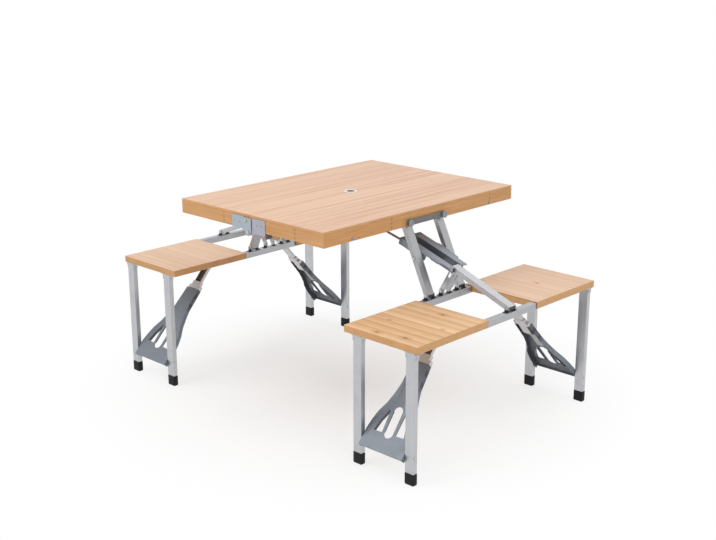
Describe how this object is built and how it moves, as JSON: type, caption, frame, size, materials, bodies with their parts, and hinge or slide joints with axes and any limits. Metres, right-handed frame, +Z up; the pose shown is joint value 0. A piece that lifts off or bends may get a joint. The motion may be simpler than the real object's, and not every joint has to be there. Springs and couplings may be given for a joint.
{
  "type": "folding camping table with benches",
  "caption": "Folding camping table with two attached benches: wooden top in two tray halves, wooden seats, aluminium legs, stamped braces and a parasol hole in the middle.",
  "frame": {"origin": "middle of the seam between the two table halves, on the ground", "axes": "+X from bench a to bench b, +Y along the benches away from the picture camera, +Z up"},
  "size_m": [1.2866, 0.864, 0.6535],
  "materials": {
    "wood_top": "satin lacquer",
    "wood_side": "satin lacquer",
    "white_plastic": "smooth",
    "aluminium": "mill finish",
    "bright_steel": "zinc plated",
    "grey_sheet": "smooth grey",
    "black_rubber": "matt",
    "handle_grey": "satin",
    "chrome": "polished",
    "black_plastic": "satin"
  },
  "bodies": {
    "half_a": {"top_board_a": "wood_top", "rim_a": "wood_side", "parasol_ring": "white_plastic", "hinge_leaf_a": "aluminium", "hinge_pins": "bright_steel", "latch_bases": "aluminium", "strut_hangers_a": "bright_steel", "rod_hooks_a": "bright_steel"},
    "half_b": {"top_board_b": "wood_top", "rim_b": "wood_side", "hinge_leaf_b": "aluminium", "handle_bosses": "handle_grey", "latch_catches": "chrome", "strut_hangers_b": "bright_steel", "rod_hooks_b": "bright_steel"},
    "handle": {"carry_handle": "handle_grey"},
    "latch_left": {"latch_lever_left": "bright_steel"},
    "latch_right": {"latch_lever_right": "bright_steel"},
    "struts_a": {"struts_a": "aluminium", "strut_plugs_a": "black_plastic"},
    "bench_a": {"seat_a1": "wood_top", "seat_a2": "wood_top", "rails_a": "aluminium", "rail_brackets_a": "bright_steel", "leg_hangers_a": "bright_steel"},
    "brace_plate_a": {"brace_plate_a": "grey_sheet", "knee_bolts_a": "black_plastic"},
    "brace_tube_a": {"brace_tube_a": "aluminium", "tube_caps_a": "black_plastic"},
    "lock_bracket_a": {"lock_bracket_a": "bright_steel"},
    "lock_rods_a": {"lock_rods_a": "bright_steel"},
    "legs_a1": {"legs_a1": "aluminium", "feet_a1": "black_rubber"},
    "leg_plate_a1": {"leg_plate_a1": "grey_sheet"},
    "leg_link_a1": {"leg_link_a1": "bright_steel"},
    "legs_a2": {"legs_a2": "aluminium", "feet_a2": "black_rubber"},
    "leg_plate_a2": {"leg_plate_a2": "grey_sheet"},
    "leg_link_a2": {"leg_link_a2": "bright_steel"},
    "struts_b": {"struts_b": "aluminium", "strut_plugs_b": "black_plastic"},
    "bench_b": {"seat_b1": "wood_top", "seat_b2": "wood_top", "rails_b": "aluminium", "rail_brackets_b": "bright_steel", "leg_hangers_b": "bright_steel"},
    "brace_plate_b": {"brace_plate_b": "grey_sheet", "knee_bolts_b": "black_plastic"},
    "brace_tube_b": {"brace_tube_b": "aluminium", "tube_caps_b": "black_plastic"},
    "lock_bracket_b": {"lock_bracket_b": "bright_steel"},
    "lock_rods_b": {"lock_rods_b": "bright_steel"},
    "legs_b1": {"legs_b1": "aluminium", "feet_b1": "black_rubber"},
    "leg_plate_b1": {"leg_plate_b1": "grey_sheet"},
    "leg_link_b1": {"leg_link_b1": "bright_steel"},
    "legs_b2": {"legs_b2": "aluminium", "feet_b2": "black_rubber"},
    "leg_plate_b2": {"leg_plate_b2": "grey_sheet"},
    "leg_link_b2": {"leg_link_b2": "bright_steel"}
  },
  "joints": [
    {"name": "table_fold", "type": "hinge", "parent": "half_a", "child": "half_b", "pos_m": [0, 0, 0.6], "axis": [0, 1, 0], "range_deg": [0, 55]},
    {"name": "handle_slide", "type": "slide", "parent": "half_b", "child": "handle", "axis": [1, 0, 0], "range_m": [0, 0.005]},
    {"name": "latch_left_turn", "type": "hinge", "parent": "half_a", "child": "latch_left", "pos_m": [-0.315, -0.311, 0.616], "axis": [0, -1, 0], "range_deg": [0, 150]},
    {"name": "latch_right_turn", "type": "hinge", "parent": "half_a", "child": "latch_right", "pos_m": [-0.315, 0.311, 0.616], "axis": [0, -1, 0], "range_deg": [0, 150]},
    {"name": "bench_a_fold", "type": "hinge", "parent": "half_a", "child": "struts_a", "pos_m": [-0.2865, 0, 0.632], "axis": [0, -1, 0], "range_deg": [0, 115.1]},
    {"name": "bench_a_level", "type": "hinge", "parent": "struts_a", "child": "bench_a", "pos_m": [-0.39, 0, 0.411], "axis": [0, -1, 0], "range_deg": [-115.1, 0]},
    {"name": "brace_plate_a_turn", "type": "hinge", "parent": "struts_a", "child": "brace_plate_a", "pos_m": [-0.34083, 0, 0.51599], "axis": [0, -1, 0], "range_deg": [0, 46.7]},
    {"name": "brace_tube_a_turn", "type": "hinge", "parent": "bench_a", "child": "brace_tube_a", "pos_m": [-0.631, 0, 0.411], "axis": [0, -1, 0], "range_deg": [-20.7, 0]},
    {"name": "lock_bracket_a_turn", "type": "hinge", "parent": "bench_a", "child": "lock_bracket_a", "pos_m": [-0.39, 0, 0.411], "axis": [0, -1, 0], "range_deg": [0, 60.8]},
    {"name": "lock_rods_a_turn", "type": "hinge", "parent": "brace_plate_a", "child": "lock_rods_a", "pos_m": [-0.25391, 0, 0.54458], "axis": [0, -1, 0], "range_deg": [-176.4, 0]},
    {"name": "legs_a1_fold", "type": "hinge", "parent": "bench_a", "child": "legs_a1", "pos_m": [-0.5215, -0.406, 0.368], "axis": [1, 0, 0], "range_deg": [0, 90]},
    {"name": "leg_link_a1_turn", "type": "hinge", "parent": "bench_a", "child": "leg_link_a1", "pos_m": [-0.50965, -0.1505, 0.372], "axis": [1, 0, 0], "range_deg": [-48.8, 0]},
    {"name": "leg_plate_a1_turn", "type": "hinge", "parent": "leg_link_a1", "child": "leg_plate_a1", "pos_m": [-0.50965, -0.26794, 0.23824], "axis": [1, 0, 0], "range_deg": [0, 180]},
    {"name": "legs_a2_fold", "type": "hinge", "parent": "bench_a", "child": "legs_a2", "pos_m": [-0.5215, 0.406, 0.368], "axis": [-1, 0, 0], "range_deg": [0, 90]},
    {"name": "leg_link_a2_turn", "type": "hinge", "parent": "bench_a", "child": "leg_link_a2", "pos_m": [-0.50965, 0.1505, 0.372], "axis": [-1, 0, 0], "range_deg": [-48.8, 0]},
    {"name": "leg_plate_a2_turn", "type": "hinge", "parent": "leg_link_a2", "child": "leg_plate_a2", "pos_m": [-0.50965, 0.26794, 0.23824], "axis": [-1, 0, 0], "range_deg": [0, 180]},
    {"name": "bench_b_fold", "type": "hinge", "parent": "half_b", "child": "struts_b", "pos_m": [0.2865, 0, 0.632], "axis": [0, 1, 0], "range_deg": [0, 115.1]},
    {"name": "bench_b_level", "type": "hinge", "parent": "struts_b", "child": "bench_b", "pos_m": [0.39, 0, 0.411], "axis": [0, 1, 0], "range_deg": [-115.1, 0]},
    {"name": "brace_plate_b_turn", "type": "hinge", "parent": "struts_b", "child": "brace_plate_b", "pos_m": [0.34083, 0, 0.51599], "axis": [0, 1, 0], "range_deg": [0, 46.7]},
    {"name": "brace_tube_b_turn", "type": "hinge", "parent": "bench_b", "child": "brace_tube_b", "pos_m": [0.631, 0, 0.411], "axis": [0, 1, 0], "range_deg": [-20.7, 0]},
    {"name": "lock_bracket_b_turn", "type": "hinge", "parent": "bench_b", "child": "lock_bracket_b", "pos_m": [0.39, 0, 0.411], "axis": [0, 1, 0], "range_deg": [0, 60.8]},
    {"name": "lock_rods_b_turn", "type": "hinge", "parent": "brace_plate_b", "child": "lock_rods_b", "pos_m": [0.25391, 0, 0.54458], "axis": [0, 1, 0], "range_deg": [-176.4, 0]},
    {"name": "legs_b1_fold", "type": "hinge", "parent": "bench_b", "child": "legs_b1", "pos_m": [0.5215, -0.406, 0.368], "axis": [1, 0, 0], "range_deg": [0, 90]},
    {"name": "leg_link_b1_turn", "type": "hinge", "parent": "bench_b", "child": "leg_link_b1", "pos_m": [0.50965, -0.1505, 0.372], "axis": [1, 0, 0], "range_deg": [-48.8, 0]},
    {"name": "leg_plate_b1_turn", "type": "hinge", "parent": "leg_link_b1", "child": "leg_plate_b1", "pos_m": [0.50965, -0.26794, 0.23824], "axis": [1, 0, 0], "range_deg": [0, 180]},
    {"name": "legs_b2_fold", "type": "hinge", "parent": "bench_b", "child": "legs_b2", "pos_m": [0.5215, 0.406, 0.368], "axis": [-1, 0, 0], "range_deg": [0, 90]},
    {"name": "leg_link_b2_turn", "type": "hinge", "parent": "bench_b", "child": "leg_link_b2", "pos_m": [0.50965, 0.1505, 0.372], "axis": [-1, 0, 0], "range_deg": [-48.8, 0]},
    {"name": "leg_plate_b2_turn", "type": "hinge", "parent": "leg_link_b2", "child": "leg_plate_b2", "pos_m": [0.50965, 0.26794, 0.23824], "axis": [-1, 0, 0], "range_deg": [0, 180]}
  ],
  "couplings": [
    {"joint": "bench_a_level", "follows": "bench_a_fold", "ratio": -1},
    {"joint": "brace_plate_a_turn", "follows": "bench_a_fold", "ratio": 0.40572},
    {"joint": "brace_tube_a_turn", "follows": "bench_a_fold", "ratio": -0.17942},
    {"joint": "lock_bracket_a_turn", "follows": "bench_a_fold", "ratio": 0.52784},
    {"joint": "lock_rods_a_turn", "follows": "bench_a_fold", "ratio": -1.5323},
    {"joint": "leg_link_a1_turn", "follows": "legs_a1_fold", "ratio": -0.5413},
    {"joint": "leg_plate_a1_turn", "follows": "legs_a1_fold", "ratio": 2},
    {"joint": "leg_link_a2_turn", "follows": "legs_a2_fold", "ratio": -0.5413},
    {"joint": "leg_plate_a2_turn", "follows": "legs_a2_fold", "ratio": 2},
    {"joint": "bench_b_level", "follows": "bench_b_fold", "ratio": -1},
    {"joint": "brace_plate_b_turn", "follows": "bench_b_fold", "ratio": 0.40572},
    {"joint": "brace_tube_b_turn", "follows": "bench_b_fold", "ratio": -0.17942},
    {"joint": "lock_bracket_b_turn", "follows": "bench_b_fold", "ratio": 0.52784},
    {"joint": "lock_rods_b_turn", "follows": "bench_b_fold", "ratio": -1.5323},
    {"joint": "leg_link_b1_turn", "follows": "legs_b1_fold", "ratio": -0.5413},
    {"joint": "leg_plate_b1_turn", "follows": "legs_b1_fold", "ratio": 2},
    {"joint": "leg_link_b2_turn", "follows": "legs_b2_fold", "ratio": -0.5413},
    {"joint": "leg_plate_b2_turn", "follows": "legs_b2_fold", "ratio": 2}
  ]
}
